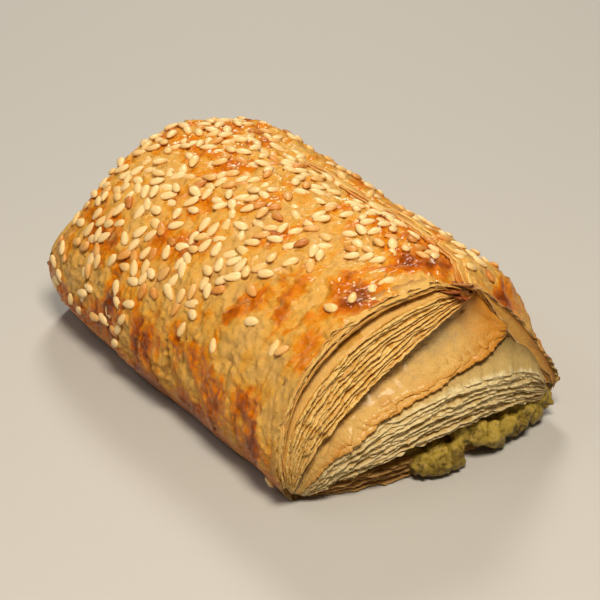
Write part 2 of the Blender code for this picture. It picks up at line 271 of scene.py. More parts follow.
# Egg-washed puff pastry crust: warped flakes, each browned to its own degree and glossy where the wash is thick,
# with wrinkles, blisters and pale torn edges, a painted highlight along the raised wrinkles, and painted shade in the
# pinholes and pleats. The flakes are about 5 mm, longer down the sides, and it is darker towards the tray, partly
# browning and partly painted shade.
def crustMaterial():
    material, tree = newMaterial("egg-washed puff pastry crust", {
        "Roughness": 0.4, "IOR": 1.45, "Specular IOR Level": 0.1, "Specular Tint": colour("#FFD6A0"),
        "Coat Roughness": 0.1, "Coat Tint": colour("#FFE2B4"),
        "Subsurface Weight": 0.05, "Subsurface Radius": (0.8, 0.4, 0.2), "Subsurface Scale": 0.8 * mm,
    })
    spot = addNode(tree, "TexCoord", output="Object")
    toast, groove, torn = [
        addNode(tree, "Attribute", output="Fac", attribute_name=layer) for layer in ("toast", "groove", "torn")
    ]
    bend = addNode(tree, "TexNoise", {"Vector": spot, "Scale": 1 / (4.0 * mm), "Detail": 5.0}, output="Color")
    bent = addNode(tree, "VectorMath", {0: bend, 1: (4.0 * mm,) * 3, 2: spot}, operation="MULTIPLY_ADD")
    bent = addNode(tree, "VectorMath", {0: bent, 1: (1.0, 0.75, 0.4)}, operation="MULTIPLY")
    flakeCells = {"Vector": bent, "Scale": 1 / (4.5 * mm)}
    flake = addNode(tree, "TexVoronoi", flakeCells, output="Color")
    border = addNode(tree, "TexVoronoi", flakeCells, output="Distance", feature="DISTANCE_TO_EDGE")
    bubbles = {"Vector": spot, "Scale": 1 / (1.7 * mm)}
    blister = addNode(tree, "TexVoronoi", bubbles, output="Distance", feature="SMOOTH_F1")
    pinhole = addNode(tree, "TexVoronoi", {"Vector": spot, "Scale": 1 / (1.5 * mm)}, output="Distance")
    patches, fine, grain = [
        addNode(tree, "TexNoise", {"Vector": spot, "Scale": 1 / (size * mm), "Detail": detail, "Roughness": rough})
        for size, detail, rough in ((6.0, 8.0, 0.62), (1.3, 6.0, 0.65), (0.45, 4.0, 0.6))
    ]
    ridges = {"Vector": bent, "Scale": 1 / (3.4 * mm), "Detail": 5.0, "Roughness": 0.55}
    wrinkle = addNode(tree, "TexNoise", ridges, noise_type="RIDGED_MULTIFRACTAL")

    browned = toast
    for texture, share in ((patches, 0.8), (flake, 0.4), (fine, 0.5)):
        browned = addNode(tree, "Math", {0: texture, 1: share, 2: browned}, operation="MULTIPLY_ADD")
    browned = addNode(tree, "Math", {0: browned, 1: 0.85}, operation="SUBTRACT")
    base = addNode(tree, "ValToRGB", {0: browned}, stops=crustTones)
    # Painted shade: darker in the pinholes
    pinholeShade = addNode(tree, "MapRange", {0: pinhole, 1: 0.13, 2: 0.07, 3: 0.0, 4: 0.35})
    # Painted highlight: lighter along the raised wrinkles
    ridgeHighlight = addNode(tree, "MapRange", {0: wrinkle, 1: 0.7, 2: 1.3, 3: 0.0, 4: 0.5})
    height = addNode(tree, "SeparateXYZ", {0: spot}, output=2)
    # Darker towards the tray, partly browning and partly painted shade
    low = addNode(tree, "MapRange", {0: height, 1: 1.0 * mm, 2: 15.0 * mm, 3: 0.5, 4: 0.0})
    # Painted shade: darker down in the pleats and in the sunk caps behind the leaves
    pleatShade = addNode(tree, "Math", {0: groove, 1: 0.55}, operation="MULTIPLY")
    for share, tone in ((pinholeShade, "#7A4A1C"), (ridgeHighlight, "#F4C06A"), (low, "#8A4E10"), (pleatShade, "#5E3010")):
        base = addNode(tree, "Mix", {0: share, 6: base, 7: colour(tone)}, output=2, data_type="RGBA")
    rim = addNode(tree, "MapRange", {0: border, 1: 0.05, 2: 0.02, 3: 0.0, 4: 0.2})
    rim = addNode(tree, "Math", {0: rim, 1: torn}, operation="MAXIMUM")
    tear = addNode(tree, "ValToRGB", {0: fine}, stops=[(0.3, "#C79A58"), (0.7, "#E2BE78")])
    base = addNode(tree, "Mix", {0: rim, 6: base, 7: tear}, output=2, data_type="RGBA")

    heights = wrinkle
    for texture, share in ((flake, 0.25), (blister, -0.6), (fine, 0.45), (grain, 0.12)):
        heights = addNode(tree, "Math", {0: texture, 1: share, 2: heights}, operation="MULTIPLY_ADD")
    relief = addNode(tree, "Bump", {"Strength": 1.0, "Distance": 0.8 * mm, "Height": heights})
    gloss = addNode(tree, "MapRange", {0: browned, 1: 0.38, 2: 0.60, 3: 0.52, 4: 0.34})
    wash = addNode(tree, "MapRange", {0: browned, 1: 0.30, 2: 0.52, 3: 0.12, 4: 0.38})
    return linkShader(material, {"Base Color": base, "Normal": relief, "Roughness": gloss, "Coat Weight": wash})


# The kinds of leaf: colours of the painted shade deep inside, in the middle, along the free edge and where toasted,
# the share of the depth where the pale part starts, how stringy it looks, and how much buttered shine it has
leafKinds = {
    # warm gold, bright along the edges, with painted shade in the gaps between
    "golden pastry leaves": ("#6E420E", "#D09A3E", "#F4CC7C", "#C2741A", 0.9, 0.6, 0.0),
    # matt and straw-coloured, with little painted shade inside
    "flaky rim leaves": ("#B8823A", "#DDAC56", "#EEC678", "#C8761E", 0.5, 0.6, 0.0),
    # smooth and softly shining, toasted at the edge
    "buttered pastry sheets": ("#B0925E", "#DDB062", "#E2A850", "#CC8420", 0.62, 0.7, 0.16),
    # the palest, with thin lines of painted shade between
    "cream pastry leaves": ("#4A3208", "#C8A664", "#F0D8A0", "#B8863C", 0.85, 0.1, 0.0),
    # stringy and golden with a light glaze
    "glazed side leaves": ("#A86A20", "#D4983C", "#F0CC88", "#B05C10", 0.5, 0.8, 0.2),
    # red-brown scraps
    "toasted flakes": ("#8A4A20", "#CC9050", "#E2B478", "#9C4E1E", 0.5, 0.6, 0.0),
    # dull tan, browned on the tray
    "browned base leaves": ("#5E3C16", "#BC8C46", "#DCB068", "#A0622A", 0.8, 0.6, 0.0),
}


# Baked puff pastry leaves seen at a cut end: pale in the middle, toasted along their free edges, with painted shade
# deep inside, darker towards the tray, partly browning and partly painted shade, and with fibres that run out of the
# roll
def leafMaterial(name, shadedDeep, pale, edge, toasted, paleFrom, stringy, butter):
    material, tree = newMaterial(name, {
        "Roughness": 0.5, "IOR": 1.45, "Specular IOR Level": 0.35, "Coat Weight": butter, "Coat Roughness": 0.18,
        "Subsurface Weight": 0.12, "Subsurface Radius": (1.0, 0.7, 0.35), "Subsurface Scale": 1.0 * mm,
    })
    spot = addNode(tree, "TexCoord", output="Object")
    toast, depth, across = [
        addNode(tree, "Attribute", output="Fac", attribute_name=layer) for layer in ("toast", "open", "across")
    ]
    inward = addNode(tree, "Math", {0: depth, 1: 3.0 * mm}, operation="MULTIPLY")
    strand = addNode(tree, "CombineXYZ", {0: across, 1: inward})
    fine, grain, fibres = [
        addNode(tree, "TexNoise", {"Vector": vector, "Scale": 1 / (size * mm), "Detail": detail, "Roughness": 0.6})
        for vector, size, detail in ((spot, 1.6, 5.0), (spot, 0.4, 4.0), (strand, 0.8, 4.0))
    ]

    shade = addNode(tree, "Math", {0: fine, 1: 0.3, 2: depth}, operation="MULTIPLY_ADD")
    shade = addNode(tree, "Math", {0: fibres, 1: 0.6 * stringy, 2: shade}, operation="MULTIPLY_ADD")
    shade = addNode(tree, "Math", {0: shade, 1: 0.15 + 0.3 * stringy}, operation="SUBTRACT")
    # Painted shade: the deep colour darkens each leaf towards its root, where the gaps between the leaves are in
    # shade
    tones = [(0.4 * paleFrom, shadedDeep), (paleFrom, pale), (0.92, pale), (1.0, edge)]
    base = addNode(tree, "ValToRGB", {0: shade}, stops=tones)
    browned = addNode(tree, "Math", {0: fine, 1: 0.7, 2: toast}, operation="MULTIPLY_ADD")
    crisp = addNode(tree, "MapRange", {0: browned, 1: 0.6, 2: 1.35})
    height = addNode(tree, "SeparateXYZ", {0: spot}, output=2)
    # Darker towards the tray, partly browning and partly painted shade
    low = addNode(tree, "MapRange", {0: height, 1: 2.0 * mm, 2: 17.0 * mm, 3: 0.4, 4: 0.0})
    specks = addNode(tree, "MapRange", {0: grain, 1: 0.58, 2: 0.75, 3: 0.0, 4: 0.25})
    for share, tone in ((crisp, toasted), (low, "#6E4A18"), (specks, "#7E5626")):
        base = addNode(tree, "Mix", {0: share, 6: base, 7: colour(tone)}, output=2, data_type="RGBA")

    heights = addNode(tree, "Math", {0: fine, 1: grain})
    heights = addNode(tree, "Math", {0: fibres, 1: stringy, 2: heights}, operation="MULTIPLY_ADD")
    relief = addNode(tree, "Bump", {"Strength": 0.5, "Distance": 0.5 * mm, "Height": heights})
    gloss = addNode(tree, "MapRange", {0: browned, 1: 0.5, 2: 1.25, 3: 0.58, 4: 0.36})
    return linkShader(material, {"Base Color": base, "Normal": relief, "Roughness": gloss})


# Hulled sesame: creamy and waxy, each seed toasted to its own degree
def sesameMaterial():
    material, tree = newMaterial("hulled sesame", {
        "Roughness": 0.36, "IOR": 1.47, "Specular IOR Level": 0.35,
        "Subsurface Weight": 0.15, "Subsurface Radius": (1.0, 0.7, 0.4), "Subsurface Scale": 0.8 * mm,
    })
    spot = addNode(tree, "TexCoord", output="Object")
    toast = addNode(tree, "Attribute", output="Fac", attribute_name="toast")
    fine = addNode(tree, "TexNoise", {"Vector": spot, "Scale": 1 / (0.8 * mm), "Detail": 3.0})
    shade = addNode(tree, "Math", {0: fine, 1: 0.25, 2: toast}, operation="MULTIPLY_ADD")
    tones = [(0.1, "#F0D096"), (0.5, "#E8BE78"), (0.85, "#D59244"), (1.0, "#BC7430")]
    base = addNode(tree, "ValToRGB", {0: shade}, stops=tones)
    relief = addNode(tree, "Bump", {"Strength": 0.25, "Distance": 0.1 * mm, "Height": fine})
    return linkShader(material, {"Base Color": base, "Normal": relief})


# Seasoned mashed potato: moist, yellow-green with spice, its tone varying, with painted light on the lumps, painted
# shade in the crannies and towards the bottom
def mashMaterial():
    material, tree = newMaterial("seasoned mashed potato", {
        "Roughness": 0.5, "IOR": 1.4, "Specular IOR Level": 0.35,
        "Subsurface Weight": 0.15, "Subsurface Radius": (1.0, 0.7, 0.25), "Subsurface Scale": 1.0 * mm,
    })
    spot = addNode(tree, "TexCoord", output="Object")
    broad, fine, grain = [
        addNode(tree, "TexNoise", {"Vector": spot, "Scale": 1 / (size * mm), "Detail": detail, "Roughness": rough})
        for size, detail, rough in ((4.5, 4.0, 0.6), (1.1, 6.0, 0.65), (0.4, 3.0, 0.6))
    ]
    shade = addNode(tree, "Math", {0: broad, 1: 0.9, 2: fine}, operation="MULTIPLY_ADD")
    # The tone follows the same fine noise as the bump: painted light on the lumps and painted shade in the crannies
    base = addNode(tree, "ValToRGB", {0: shade}, stops=[(0.6, "#46380C"), (0.78, "#6E5814"), (1.0, "#B69A3E")])
    height = addNode(tree, "SeparateXYZ", {0: spot}, output=2)
    # Painted shade: darker towards the bottom
    low = addNode(tree, "MapRange", {0: height, 1: 0.0, 2: 8.0 * mm, 3: 0.6, 4: 0.0})
    spice = addNode(tree, "MapRange", {0: grain, 1: 0.66, 2: 0.74})
    for share, tone in ((low, "#452F0A"), (spice, "#46340C")):
        base = addNode(tree, "Mix", {0: share, 6: base, 7: colour(tone)}, output=2, data_type="RGBA")
    heights = addNode(tree, "Math", {0: grain, 1: 0.4, 2: fine}, operation="MULTIPLY_ADD")
    relief = addNode(tree, "Bump", {"Strength": 0.8, "Distance": 0.5 * mm, "Height": heights})
    wet = addNode(tree, "MapRange", {0: fine, 1: 0.3, 2: 0.7, 3: 0.16, 4: 0.42})
    return linkShader(material, {"Base Color": base, "Normal": relief, "Roughness": wet})


def meshFrom(bm, name):
    mesh = bpy.data.meshes.new(name)
    bm.to_mesh(mesh)
    bm.free()
    return mesh


def addObject(name, data):
    made = bpy.data.objects.new(name, data)
    bpy.context.scene.collection.objects.link(made)
    return made


def finishPiece(bm, name, material, node):
    mesh = meshFrom(bm, name)
    piece = addObject(name, mesh)
    mesh.materials.append(material)
    mesh.shade_smooth()
    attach(piece, "root")
    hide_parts(node)
    print(name, len(mesh.vertices), "points")
    return piece


crust = {
    "around": 340,
    "along": 270,
    "thickness": 0.5,
    "cup": 9.0,  # how far the caps behind the leaves are sunk
    "cupScale": 0.86,
    "capToast": 0.6,
    # how strongly the sunk caps get the pleats' painted shade
    "capPaintedShade": 0.4,
    "lead": 0.3,  # how far it stands past the solid's rim
    "ragged": 0.8,
    "rimShare": 0.007,  # share of the length that is torn at each rim
    "flake": 0.34,
    "blister": 1.25,
    "slitDepth": 0.65,
    # (x, degrees, length along the roll, degrees of spread, browning) of the washed patches and the dry ones
    "patches": [
        (38.5, 75.0, 5.5, 10.0, 0.32), (33.0, 84.0, 7.5, 8.0, 0.28), (22.0, 71.0, 15.0, 5.0, 0.36),
        (36.0, 120.0, 4.6, 15.0, 0.25), (33.5, 104.0, 6.0, 10.0, 0.28), (22.0, 136.0, 7.0, 10.0, 0.18),
        (33.0, 170.0, 2.2, 15.0, 0.24), (16.5, 192.0, 3.5, 18.0, 0.22), (-13.0, 170.0, 1.8, 14.0, 0.28),
        (-4.5, 178.0, 2.0, 14.0, 0.28), (-18.0, 158.0, 4.0, 12.0, 0.16), (-40.0, 70.0, 7.0, 20.0, 0.28),
        (40.0, 42.0, 4.0, 10.0, 0.20), (30.0, 20.0, 14.0, 16.0, 0.22), (30.0, 152.0, 5.0, 8.0, -0.25),
        (9.0, 131.0, 5.0, 8.0, -0.25), (37.0, 52.0, 4.0, 5.0, -0.30), (28.0, 56.0, 9.0, 5.0, -0.30),
        (-31.0, 170.0, 7.0, 14.0, -0.25), (24.0, 160.0, 7.0, 9.0, -0.22), (2.0, 150.0, 5.0, 8.0, -0.18),
        (38.0, 152.0, 3.5, 8.0, -0.15),
    ],
    # (x, degrees, degrees of half length, half width in millimetres) of the open pleats on the fold side
    "slits": [
        (9.1, 166.0, 11.0, 0.55), (11.8, 155.0, 6.0, 0.45), (4.2, 178.0, 12.0, 0.50), (-0.6, 190.0, 10.0, 0.45),
        (-4.6, 176.0, 9.0, 0.55), (-12.4, 170.0, 8.0, 0.50), (-17.0, 180.0, 9.0, 0.40), (20.0, 192.0, 9.0, 0.45),
        (-26.0, 176.0, 10.0, 0.45), (27.0, 184.0, 8.0, 0.35), (-34.0, 160.0, 9.0, 0.40),
    ],
}


# Fine form of the crust at a place: outward relief, browning, how deep it is in a pleat, and how near it is to a torn
# edge. Lengths that divide x and arc are the sizes of its features, and the last number of a wave is its own seed.
def crustDetail(x, angle):
    arc = angle * roll["arcLength"]
    degrees = math.degrees(angle)
    side = smooth((-math.cos(angle) - 0.35) / 0.5)  # 1 down the fold side
    under = smooth((-0.15 - math.sin(angle)) / 0.3)  # 1 on the tray
    shown = 1.0 - under
    drift = 2.0 * wave(x / 11.0, arc / 11.0, 3.0)

    # overlapping scales, drawn out into strips down the fold side
    leafy = 1.9 * wave((x + drift) / 8.0, (arc - drift) / 7.0, 41.0) + 0.6 * wave(x / 2.8, arc / 2.8, 43.0)
    strips = 2.0 * wave((x + drift) / 4.2, arc / 16.0, 45.0) + 0.3 * wave(x / 1.7, arc / 4.0, 46.0)
    field = leafy + (strips - leafy) * side + 8.0
    level = math.floor(field)
    phase = field - level
    rise = phase * phase / 0.81 if phase < 0.9 else (1.0 - phase) / 0.1
    relief = crust["flake"] * (0.9 - 0.2 * side) * rise
    torn = bump(phase, 0.88, 0.07) * smooth(0.4 + 2.0 * wave(x / 4.0, arc / 4.0, 48.0))

    # blisters with creases between them, then broad swells
    blisters = 0.45 - 1.3 * abs(wave((x + drift) / 4.2, arc / 3.4, 47.0))
    blisters -= abs(wave(x / 1.9, arc / 1.7, 53.0))
    blisters += 0.35 * wave(x / 0.8, arc / 0.8, 54.0)
    relief += crust["blister"] * (1.0 - 0.4 * side) * (1.0 - 0.45 * smooth(math.cos(angle) * 2.0)) * blisters
    relief += side * 0.5 * wave((x + drift) / 4.6, arc / 26.0, 5.0) * (1.0 - 0.6 * smooth((x - 16.0) / 6.0))
    relief += 0.5 * wave(x / 8.0, arc / 8.0, 57.0)

    # pleats, each with a raised lip, and shallower hollows near the ends, where the leaves lie close under the crust
    groove = 0.0
    for middleX, middle, halfLength, halfWidth in crust["slits"]:
        reach = (degrees - middle) / halfLength
        if abs(reach) < 1.0:
            bend = 0.8 * wave(middle, arc / 6.0, middleX)
            gap = bump(x + drift * 0.5, middleX + bend, halfWidth * math.sqrt(1.0 - reach * reach) + 0.05)
            groove = max(groove, gap * (1.0 - reach * reach) ** 0.5)
    relief -= crust["slitDepth"] * groove
    relief += 0.5 * side * bump(groove, 0.25, 0.18)
    relief *= shown
    if relief < 0.0:
        relief *= 1.0 - 0.8 * smooth((abs(x + 2.0) - 32.0) / 4.0)

    # browning: clouds, each scale its own degree, streaks down the side, and the washed and dry patches
    toast = 0.42 + 0.5 * wave((x + drift) / 7.0, arc / 8.0, 61.0) + 0.14 * wave(x / 3.0, arc / 4.0, 67.0)
    toast += 0.2 * wave(level * 3.7, level * 1.9 + 0.4 * wave(x / 9.0, arc / 9.0), 71.0)
    toast += 0.16 * side * wave((x + drift) / 2.6, arc / 26.0, 73.0)
    strayX = 3.0 * wave(x / 4.5, arc / 4.5, 75.0) + 1.2 * wave(x / 1.6, arc / 1.6, 76.0)
    strayAngle = 6.0 * wave(x / 4.5, arc / 4.5, 77.0) + 2.5 * wave(x / 1.6, arc / 1.6, 78.0)
    for middleX, middle, length, spread, strength in crust["patches"]:
        away = ((x + strayX - middleX) / length) ** 2 + ((degrees + strayAngle - middle) / spread) ** 2
        if away < 3.0:
            toast += strength * math.exp(-away * away)
    # Browner on the tray side, and darker low down the fold side, partly browning and partly painted shade
    toast += 0.2 * under + 0.1 * (rise - 0.5) + 0.2 * smooth((degrees - 160.0) / 30.0)
    return relief, min(1.0, max(0.0, toast)), groove, torn * shown


# A rod of unit length and radius along X, cut into quads round it and along it
def rodOfQuads(around, along):
    bm = bmesh.new()
    alongX = Matrix.Rotation(math.pi / 2.0, 4, "Y")
    bmesh.ops.create_cone(bm, cap_ends=True, segments=around, radius1=1.0, radius2=1.0, depth=1.0, matrix=alongX)
    edges = [e for e in bm.edges if abs(e.verts[0].co.x - e.verts[1].co.x) > 0.5]
    bmesh.ops.subdivide_edges(bm, edges=edges, cuts=along - 1, use_grid_fill=True)
    return bm


def makeCrust(material):
    bm = rodOfQuads(crust["around"], crust["along"])
    toastLayer, grooveLayer, tornLayer = [bm.verts.layers.float.new(layer) for layer in ("toast", "groove", "torn")]
    front, back = roll["frontRim"] + crust["lead"], roll["backRim"]
    for vert in bm.verts:
        angle = math.atan2(vert.co.z, vert.co.y)
        if angle < -math.pi / 2.0:
            angle += math.tau
        along = vert.co.x + 0.5
        x = back + (front - back) * along
        relief, toast, groove, torn = crustDetail(x, angle)
        point = skin(x, angle, 1.0, relief)
        arc = angle * roll["arcLength"]
        ragged = wave(arc / 5.0, 1.0, 81.0) + 0.6 * wave(arc / 1.6, 2.0, 83.0)
        point.x += endShift(along, angle, point.z)
        point.x += crust["ragged"] * ragged * (along**30 - (1.0 - along) ** 30)
        vert[toastLayer] = toast
        vert[grooveLayer] = groove
        rimward = smooth((max(along, 1.0 - along) - (1.0 - crust["rimShare"])) / crust["rimShare"])
        vert[tornLayer] = max(0.75 * torn, rimward)
        vert.co = place(point)

    # Each end is a rim of crust round a sunk cap
    for outward in (1.0, -1.0):
        bm.normal_update()
        caps = [face for face in bm.faces if len(face.verts) == crust["around"]]
        cap = [face for face in caps if face.normal.x * outward > 0.5]
        rim = cap[0].verts[:]
        bmesh.ops.inset_region(bm, faces=cap, thickness=crust["thickness"] * mm, use_even_offset=True)
        bmesh.ops.translate(bm, verts=cap[0].verts[:], vec=(-outward * crust["cup"] * mm, 0.0, 0.0))
        core = place(Vector((0.0, 0.0, roll["coreHeight"])))
        shrunk = (1.0, crust["cupScale"], crust["cupScale"])
        bmesh.ops.scale(bm, verts=cap[0].verts[:], vec=shrunk, space=Matrix.Translation(-core))
        for vert in cap[0].verts:
            vert[toastLayer] = crust["capToast"]
            vert[grooveLayer] = crust["capPaintedShade"]
            vert[tornLayer] = 0.0
        for vert in rim:
            vert[tornLayer] = 1.0
    bmesh.ops.triangulate(bm, faces=[face for face in bm.faces if len(face.verts) > 4])
    finishPiece(bm, "crust", material, "pastry")


# A unit box that is cut into columns along X and rows along Y, for a leaf to be shaped from
def leafBlank(columns, rows):
    bm = bmesh.new()
    bmesh.ops.create_cube(bm, size=1.0, matrix=Matrix.Translation((0.5, 0.5, 0.5)))
    for axis, pieces in ((0, columns), (1, rows)):
        edges = [e for e in bm.edges if abs(e.verts[0].co[axis] - e.verts[1].co[axis]) > 0.5]
        bmesh.ops.subdivide_edges(bm, edges=edges, cuts=pieces - 1, use_grid_fill=True)
    return meshFrom(bm, "leafBlank")


# Adds one leaf to a bmesh. shape(s, d, w) gives its point and its browning: s runs across, d from deep to the
# free edge, w through the leaf. A leaf is taken as 50 mm across for its fibres.
def addLeaf(bm, blank, shape, mirrored=False):
    layers = bm.verts.layers.float
    names = ("toast", "open", "across")
    toastLayer, openLayer, acrossLayer = [layers.get(name) or layers.new(name) for name in names]
    firstVert, firstFace = len(bm.verts), len(bm.faces)
    bm.from_mesh(blank)
    bm.verts.ensure_lookup_table()
    bm.faces.ensure_lookup_table()
    for vert in bm.verts[firstVert:]:
        s, d, w = vert.co
        point, toast = shape(s, d, w)
        vert[toastLayer] = min(1.0, max(0.0, toast))
        vert[openLayer] = d
        vert[acrossLayer] = s * 50.0 * mm
        vert.co = place(point)
    if mirrored:
        bmesh.ops.reverse_faces(bm, faces=bm.faces[firstFace:])


leafGrid = {"rows": 6, "farColumns": 70, "farSeed": 5.0}

# Each family of leaves lies between two lines of free edges, the first and the last, and two of roots, which are at
# rootX along the roll. spaces are the shares of the way before each leaf, and standBack is how far each stops short
# of its line. bow curves a leaf from root to edge, notch is one over the share of its depth in which it thins out,
# openness parts the leaves and ripples crumple them. ragged and torn are the small tatters and the large notches of
# their edges, toast browns the edges and endToast the seam end.
families = {
    "wrapLeaves": {
        "edges": (wrapLine, lipLine),
        "roots": (innerLine, foldLine),
        "spaces": [0.4, 0.7, 0.5] + [0.6, 0.3, 0.7, 0.4, 0.5] * 4,
        "standBack": [-0.5, 0.2, -0.3] + [0.6, 0.0, 0.4, -0.2, 0.3] * 4,
        "rootX": 34.0, "bow": 1.2, "thick": 0.22, "notch": 3.2, "openness": 1.7, "ripples": 0.0,
        "ragged": 0.55, "torn": 5.0, "toast": 0.25, "endToast": 0.6, "seed": 98.0, "columns": 200,
    },
    "firstLeaves": {
        "edges": (rimLine, wrapLine),
        "roots": (innerLine, wrapLine),
        "spaces": [0.09, 0.13, 0.8],
        "standBack": [-0.2, 0.1, -0.2],
        "rootX": 38.6, "bow": 1.2, "thick": 0.36, "notch": 0.0, "openness": 0.15, "ripples": 0.35,
        "ragged": 0.5, "torn": 1.0, "toast": 0.2, "endToast": 0.5, "seed": 20.0, "columns": 150,
    },
    "rimLeaves": {
        "edges": (crustLine, rimLine),
        "roots": (crustLine, innerLine),
        "spaces": [0.1, 0.45, 0.45, 0.25],
        "standBack": [-0.4, -0.1, 0.2, 0.0],
        "rootX": 38.0, "bow": 1.0, "thick": 0.42, "notch": 2.5, "openness": 0.4, "ripples": 0.0,
        "ragged": 0.9, "torn": 2.5, "toast": 0.35, "endToast": 0.3, "seed": 33.0, "columns": 150,
    },
    "secondLeaves": {
        "edges": (browLine, stepLine),
        "roots": (lipLine, browLine),
        "spaces": [0.05, 0.5, 0.4, 0.5, 0.7],
        "standBack": [4.2, 2.6, 1.6, 0.6, 0.0],
        "rootX": 39.8, "bow": 0.8, "thick": 0.34, "notch": 2.0, "openness": 0.7, "ripples": 0.8,
        "ragged": 1.4, "torn": 3.2, "toast": 0.45, "endToast": 0.9, "seed": 46.0, "columns": 140,
    },
    "fineLeaves": {
        "edges": (crownLine, bellyLine),
        "roots": (eaveLine, bellyLine),
        "spaces": [0.02, 0.7] + [0.5, 0.6, 0.4, 0.7] * 5,
        "standBack": [0.3, 0.6] + [0.1, 0.9, 0.4, 1.2] * 5,
        "rootX": 37.0, "bow": 2.4, "thick": 0.22, "notch": 3.4, "openness": 1.8, "ripples": 0.05,
        "ragged": 0.9, "torn": 4.0, "toast": 0.1, "endToast": 0.45, "seed": 7.0, "columns": 200,
    },
    "sideLeaves": {
        "edges": (flapLine, cheekLine),
        "roots": (sideRimLine, flapLine),
        "spaces": [0.02, 0.5, 0.6, 0.5],
        "standBack": [-0.2, 0.3, 0.7, 1.0],
        "rootX": 40.9, "bow": 1.0, "thick": 0.40, "notch": 0.0, "openness": 0.6, "ripples": 0.95,
        "ragged": 0.5, "torn": 2.0, "toast": 0.45, "endToast": 0.1, "seed": 59.0, "columns": 90,
    },
    "soleLeaves": {
        "edges": (floorLine, soleLine),
        "roots": (floorLine, soleLine),
        "spaces": [0.05, 0.5, 0.5, 0.7, 0.5, 0.6],
        "standBack": [0.6, 0.1, 0.9, 0.3, 0.8, 0.0],
        "rootX": 35.0, "bow": 1.0, "thick": 0.30, "notch": 3.0, "openness": 1.0, "ripples": 0.0,
        "ragged": 0.9, "torn": 3.0, "toast": 0.35, "endToast": 0.1, "seed": 72.0, "columns": 130,
    },
}


# Where a family's leaves lie at s, as shares of the way down from its first line to its last. They part and meet, so
# that lens-shaped cells open between them.
def leafShares(family, s, seed):
    total, reached, shares = sum(family["spaces"]), 0.0, []
    for number, space in enumerate(family["spaces"]):
        reached += space
        pair, lower = divmod(number, 2)
        lens = max(-0.7, 2.4 * wave(s * 8.0 + 3.1 * pair, pair * 1.9, seed))
        stray = (0.5 if lower else -0.5) * lens + 0.3 * wave(s * 21.0, number * 2.9, seed)
        shares.append(min(1.0, max(0.0, (reached + family["openness"] * min(space, 0.8) * stray) / total)))
    return shares


def makeFamily(name, material, far):
    family = families[name]
    seed = family["seed"] + (leafGrid["farSeed"] if far else 0.0)
    columns = leafGrid["farColumns"] if far else family["columns"]
    blank = leafBlank(columns, leafGrid["rows"])
    rows = []
    for column in range(columns + 1):
        s = column / columns
        corners = [line(s, far) for line in (*family["edges"], *family["roots"])]
        down = corners[1] - corners[0]
        down.x = 0.0
        rows.append((leafShares(family, s, seed), corners, down))
    bm = bmesh.new()
    for number, standBack in enumerate(family["standBack"]):

        def shape(s, d, w):
            shares, (edgeFirst, edgeLast, rootFirst, rootLast), down = rows[round(s * columns)]
            here, above = shares[number], shares[number - 1] if number else 0.0

            # it fills its room at the root and thins out towards the free edge
            room = max(0.05, (here - above) * down.length)
            thin = min(family["thick"], 0.7 * room + 0.06)
            packed = smooth((1.0 - d) * family["notch"]) if number else 0.0
            thick = thin + max(0.0, 1.2 * min(room, 1.6) - thin) * packed
            # how far below the leaf above its root lies, as a share of the room
            cell = 0.6 if number == 1 else 0.15
            cell += 0.55 * smooth(0.5 + 1.5 * wave(s * 11.0, number * 2.7, seed + 5.0))
            # tatters and notches of the free edge, none where the leaf ends
            tatter = 0.6 * wave(s * 13.0, number * 2.1, seed) + 0.4 * wave(s * 44.0, number * 3.3, seed)
            tatter += 0.3 * wave(s * 95.0, number * 4.7, seed)
            notch = max(0.0, wave(s * 10.0, number * 5.0, seed + 3.0) - 0.08) * family["torn"]
            ends = smooth(min(s, 1.0 - s) * 12.0)

            edgePoint = edgeFirst.lerp(edgeLast, here)
            front = edgePoint.x - standBack * ends
            tear = family["ragged"] * (tatter - notch) * ends
            root = rootFirst.lerp(rootLast, above + (here - above) * cell)
            point = root.lerp(edgePoint, d ** family["bow"])
            way = down.normalized() if down.length > 0.01 else Vector((0.0, 0.0, -1.0))
            ripple = s * 11.0 + 3.0 * wave(s * 4.0, number * 0.8, seed + 8.0)
            flutter = 0.3 * wave(ripple, number * 1.9, seed + 9.0) + 0.1 * wave(s * 60.0, number, seed)
            flutter = flutter * d * d * min(1.0, room)
            crumple = wave(s * 8.0, d * 2.2, seed + 21.0) + 0.5 * wave(s * 19.0, d * 5.0, seed + 23.0)
            flutter += family["ripples"] * crumple * math.sin(math.pi * d**0.7)
            point += way * (flutter + thick * (w - 0.5))
            point.x = family["rootX"] + (front - family["rootX"]) * d + tear * d**4
            point.z = max(0.05 + 0.02 * number, point.z)  # above the tray
            if far:
                point = toFarEnd(point)
            toast = family["toast"] * (0.2 + 1.0 * d**4) + 0.35 * wave(s * 9.0, number * 0.9, seed + 17.0)
            return point, toast + family["endToast"] * smooth(s * 5.0 - 4.0)

        addLeaf(bm, blank, shape, mirrored=far)
    bpy.data.meshes.remove(blank)
    finishPiece(bm, ("far" + name[0].upper() + name[1:]) if far else name, material, "pastry")


# The seam: the outer sheet's cut edge along the roll, a few ragged strips lying like shingles
seam = {
    "from": -34.0,
    "to": 41.2,
    # (degrees of its upper edge, degrees of its lower edge, height over the crust, browning)
    "strips": [(67.8, 62.0, 0.45, 0.70), (66.4, 60.4, 0.80, 0.45), (62.2, 55.0, 1.15, -0.05)],
    "thick": 0.30,
    "grid": (190, 5),
    "fadeIn": 30.0,  # length in which the strips broaden
    "liftAngle": math.radians(70.0),  # all strips are lifted the way the crust faces here
}


